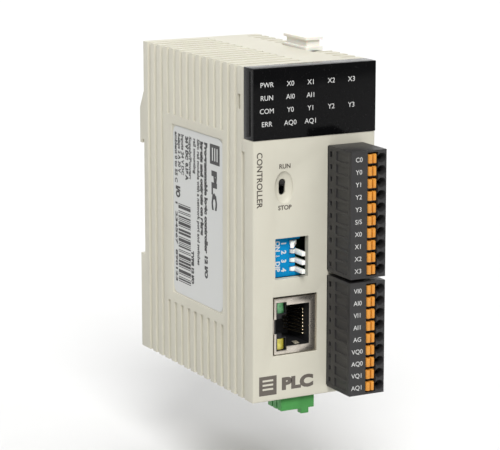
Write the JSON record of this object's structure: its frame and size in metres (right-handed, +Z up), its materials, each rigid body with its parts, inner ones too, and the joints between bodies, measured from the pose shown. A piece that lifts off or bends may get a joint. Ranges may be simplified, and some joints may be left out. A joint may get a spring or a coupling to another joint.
{
  "type": "plc module",
  "caption": "Slim rail-mounted programmable controller with indicator window, network jack, mode and lever switches, and pull-off spring-clamp terminal plugs.",
  "frame": {"origin": "centre of the rail seat, on the plane that rests on the rail's front face", "axes": "+Z up along the module's height, -Y out of the front panel, +X to the right of a person facing the panel"},
  "size_m": [0.039, 0.0867, 0.104],
  "materials": {
    "housing_plastic": "fine matt moulded, warm ivory",
    "window_plastic": "polished black, lets the lamps through when lit",
    "clear_plastic": "clear moulded light pipe",
    "label_paper": "satin silver grey printed label",
    "lock_nylon": "natural white nylon, slightly translucent",
    "latch_plastic": "matt moulded",
    "circuit_board": "green solder mask",
    "chip_epoxy": "matt black",
    "relay_case": "moulded blue",
    "capacitor_can": "brushed can",
    "lamp_lens": "clear lens",
    "switch_black": "matt moulded",
    "switch_lever": "matt moulded",
    "dip_blue": "moulded blue",
    "dip_white": "moulded white",
    "jack_steel": "tinned sheet steel",
    "contact_gold": "gold flashed spring wire",
    "lens_green": "tinted clear",
    "lens_yellow": "tinted clear",
    "pin_tin": "bright tin",
    "plug_black": "fine matt moulded dark grey",
    "button_orange": "satin moulded orange",
    "plug_green": "satin moulded green",
    "screw_steel": "zinc plated"
  },
  "bodies": {
    "module": {"rear_housing": "housing_plastic", "front_cover": "housing_plastic", "indicator_window": "window_plastic", "light_guide": "clear_plastic", "rating_label": "label_paper", "main_board": "circuit_board", "io_board": "circuit_board", "display_board": "circuit_board", "indicator_leds": "lamp_lens", "processor_chips": "chip_epoxy", "output_relays": "relay_case", "capacitors": "capacitor_can", "mode_switch_body": "switch_black", "dip_switch_body": "dip_blue", "jack_shield": "jack_steel", "jack_insert": "switch_black", "jack_contacts": "contact_gold", "jack_led_green": "lens_green", "jack_led_yellow": "lens_yellow", "upper_header": "plug_black", "upper_header_pins": "pin_tin", "lower_header": "plug_black", "lower_header_pins": "pin_tin", "power_header": "plug_green", "power_header_pins": "pin_tin"},
    "upper_plug": {"upper_plug_body": "plug_black", "upper_plug_contacts": "pin_tin"},
    "lower_plug": {"lower_plug_body": "plug_black", "lower_plug_contacts": "pin_tin"},
    "power_plug": {"power_plug_body": "plug_green"},
    "latch": {"din_latch": "latch_plastic"},
    "top_lock": {"top_module_lock": "lock_nylon"},
    "bottom_lock": {"bottom_module_lock": "lock_nylon"},
    "mode_lever": {"mode_switch_lever": "switch_lever"},
    "upper_button_01": {"upper_button_01": "button_orange"},
    "upper_button_02": {"upper_button_02": "button_orange"},
    "upper_button_03": {"upper_button_03": "button_orange"},
    "upper_button_04": {"upper_button_04": "button_orange"},
    "upper_button_05": {"upper_button_05": "button_orange"},
    "upper_button_06": {"upper_button_06": "button_orange"},
    "upper_button_07": {"upper_button_07": "button_orange"},
    "upper_button_08": {"upper_button_08": "button_orange"},
    "upper_button_09": {"upper_button_09": "button_orange"},
    "upper_button_10": {"upper_button_10": "button_orange"},
    "lower_button_01": {"lower_button_01": "button_orange"},
    "lower_button_02": {"lower_button_02": "button_orange"},
    "lower_button_03": {"lower_button_03": "button_orange"},
    "lower_button_04": {"lower_button_04": "button_orange"},
    "lower_button_05": {"lower_button_05": "button_orange"},
    "lower_button_06": {"lower_button_06": "button_orange"},
    "lower_button_07": {"lower_button_07": "button_orange"},
    "lower_button_08": {"lower_button_08": "button_orange"},
    "lower_button_09": {"lower_button_09": "button_orange"},
    "dip_lever_1": {"dip_lever_1": "dip_white"},
    "dip_lever_2": {"dip_lever_2": "dip_white"},
    "dip_lever_3": {"dip_lever_3": "dip_white"},
    "dip_lever_4": {"dip_lever_4": "dip_white"},
    "power_screw_1": {"power_screw_1": "screw_steel"},
    "power_screw_2": {"power_screw_2": "screw_steel"},
    "power_screw_3": {"power_screw_3": "screw_steel"}
  },
  "joints": [
    {"name": "upper_plug_pull", "type": "slide", "parent": "module", "child": "upper_plug", "axis": [0, -1, 0], "range_m": [0, 0.02]},
    {"name": "lower_plug_pull", "type": "slide", "parent": "module", "child": "lower_plug", "axis": [0, -1, 0], "range_m": [0, 0.02]},
    {"name": "power_plug_pull", "type": "slide", "parent": "module", "child": "power_plug", "axis": [0, 0, -1], "range_m": [0, 0.015]},
    {"name": "latch_slide", "type": "slide", "parent": "module", "child": "latch", "axis": [0, 0, -1], "range_m": [0, 0.0035], "stiffness_N_per_m": 600, "springref_m": -0.003},
    {"name": "top_lock_slide", "type": "slide", "parent": "module", "child": "top_lock", "axis": [0, -1, 0], "range_m": [0, 0.005]},
    {"name": "bottom_lock_slide", "type": "slide", "parent": "module", "child": "bottom_lock", "axis": [0, -1, 0], "range_m": [0, 0.005]},
    {"name": "mode_lever_slide", "type": "slide", "parent": "module", "child": "mode_lever", "axis": [0, 0, -1], "range_m": [0, 0.0025]},
    {"name": "upper_button_01_press", "type": "slide", "parent": "upper_plug", "child": "upper_button_01", "axis": [0, 1, 0], "range_m": [0, 0.001], "stiffness_N_per_m": 300, "springref_m": -0.001},
    {"name": "upper_button_02_press", "type": "slide", "parent": "upper_plug", "child": "upper_button_02", "axis": [0, 1, 0], "range_m": [0, 0.001], "stiffness_N_per_m": 300, "springref_m": -0.001},
    {"name": "upper_button_03_press", "type": "slide", "parent": "upper_plug", "child": "upper_button_03", "axis": [0, 1, 0], "range_m": [0, 0.001], "stiffness_N_per_m": 300, "springref_m": -0.001},
    {"name": "upper_button_04_press", "type": "slide", "parent": "upper_plug", "child": "upper_button_04", "axis": [0, 1, 0], "range_m": [0, 0.001], "stiffness_N_per_m": 300, "springref_m": -0.001},
    {"name": "upper_button_05_press", "type": "slide", "parent": "upper_plug", "child": "upper_button_05", "axis": [0, 1, 0], "range_m": [0, 0.001], "stiffness_N_per_m": 300, "springref_m": -0.001},
    {"name": "upper_button_06_press", "type": "slide", "parent": "upper_plug", "child": "upper_button_06", "axis": [0, 1, 0], "range_m": [0, 0.001], "stiffness_N_per_m": 300, "springref_m": -0.001},
    {"name": "upper_button_07_press", "type": "slide", "parent": "upper_plug", "child": "upper_button_07", "axis": [0, 1, 0], "range_m": [0, 0.001], "stiffness_N_per_m": 300, "springref_m": -0.001},
    {"name": "upper_button_08_press", "type": "slide", "parent": "upper_plug", "child": "upper_button_08", "axis": [0, 1, 0], "range_m": [0, 0.001], "stiffness_N_per_m": 300, "springref_m": -0.001},
    {"name": "upper_button_09_press", "type": "slide", "parent": "upper_plug", "child": "upper_button_09", "axis": [0, 1, 0], "range_m": [0, 0.001], "stiffness_N_per_m": 300, "springref_m": -0.001},
    {"name": "upper_button_10_press", "type": "slide", "parent": "upper_plug", "child": "upper_button_10", "axis": [0, 1, 0], "range_m": [0, 0.001], "stiffness_N_per_m": 300, "springref_m": -0.001},
    {"name": "lower_button_01_press", "type": "slide", "parent": "lower_plug", "child": "lower_button_01", "axis": [0, 1, 0], "range_m": [0, 0.001], "stiffness_N_per_m": 300, "springref_m": -0.001},
    {"name": "lower_button_02_press", "type": "slide", "parent": "lower_plug", "child": "lower_button_02", "axis": [0, 1, 0], "range_m": [0, 0.001], "stiffness_N_per_m": 300, "springref_m": -0.001},
    {"name": "lower_button_03_press", "type": "slide", "parent": "lower_plug", "child": "lower_button_03", "axis": [0, 1, 0], "range_m": [0, 0.001], "stiffness_N_per_m": 300, "springref_m": -0.001},
    {"name": "lower_button_04_press", "type": "slide", "parent": "lower_plug", "child": "lower_button_04", "axis": [0, 1, 0], "range_m": [0, 0.001], "stiffness_N_per_m": 300, "springref_m": -0.001},
    {"name": "lower_button_05_press", "type": "slide", "parent": "lower_plug", "child": "lower_button_05", "axis": [0, 1, 0], "range_m": [0, 0.001], "stiffness_N_per_m": 300, "springref_m": -0.001},
    {"name": "lower_button_06_press", "type": "slide", "parent": "lower_plug", "child": "lower_button_06", "axis": [0, 1, 0], "range_m": [0, 0.001], "stiffness_N_per_m": 300, "springref_m": -0.001},
    {"name": "lower_button_07_press", "type": "slide", "parent": "lower_plug", "child": "lower_button_07", "axis": [0, 1, 0], "range_m": [0, 0.001], "stiffness_N_per_m": 300, "springref_m": -0.001},
    {"name": "lower_button_08_press", "type": "slide", "parent": "lower_plug", "child": "lower_button_08", "axis": [0, 1, 0], "range_m": [0, 0.001], "stiffness_N_per_m": 300, "springref_m": -0.001},
    {"name": "lower_button_09_press", "type": "slide", "parent": "lower_plug", "child": "lower_button_09", "axis": [0, 1, 0], "range_m": [0, 0.001], "stiffness_N_per_m": 300, "springref_m": -0.001},
    {"name": "dip_lever_1_tip", "type": "hinge", "parent": "module", "child": "dip_lever_1", "pos_m": [-0.0053, -0.0672, -0.00274], "axis": [0, 0, 1], "range_deg": [0, 35]},
    {"name": "dip_lever_2_tip", "type": "hinge", "parent": "module", "child": "dip_lever_2", "pos_m": [-0.0053, -0.0672, -0.00528], "axis": [0, 0, 1], "range_deg": [-35, 0]},
    {"name": "dip_lever_3_tip", "type": "hinge", "parent": "module", "child": "dip_lever_3", "pos_m": [-0.0053, -0.0672, -0.00782], "axis": [0, 0, 1], "range_deg": [-35, 0]},
    {"name": "dip_lever_4_tip", "type": "hinge", "parent": "module", "child": "dip_lever_4", "pos_m": [-0.0053, -0.0672, -0.01036], "axis": [0, 0, 1], "range_deg": [-35, 0]},
    {"name": "power_screw_1_turn", "type": "hinge", "parent": "power_plug", "child": "power_screw_1", "pos_m": [-0.0077, -0.062, -0.04945], "axis": [0, -1, 0], "range_deg": [0, 1260]},
    {"name": "power_screw_2_turn", "type": "hinge", "parent": "power_plug", "child": "power_screw_2", "pos_m": [-0.0042, -0.062, -0.04945], "axis": [0, -1, 0], "range_deg": [0, 1260]},
    {"name": "power_screw_3_turn", "type": "hinge", "parent": "power_plug", "child": "power_screw_3", "pos_m": [-0.0007, -0.062, -0.04945], "axis": [0, -1, 0], "range_deg": [0, 1260]}
  ]
}
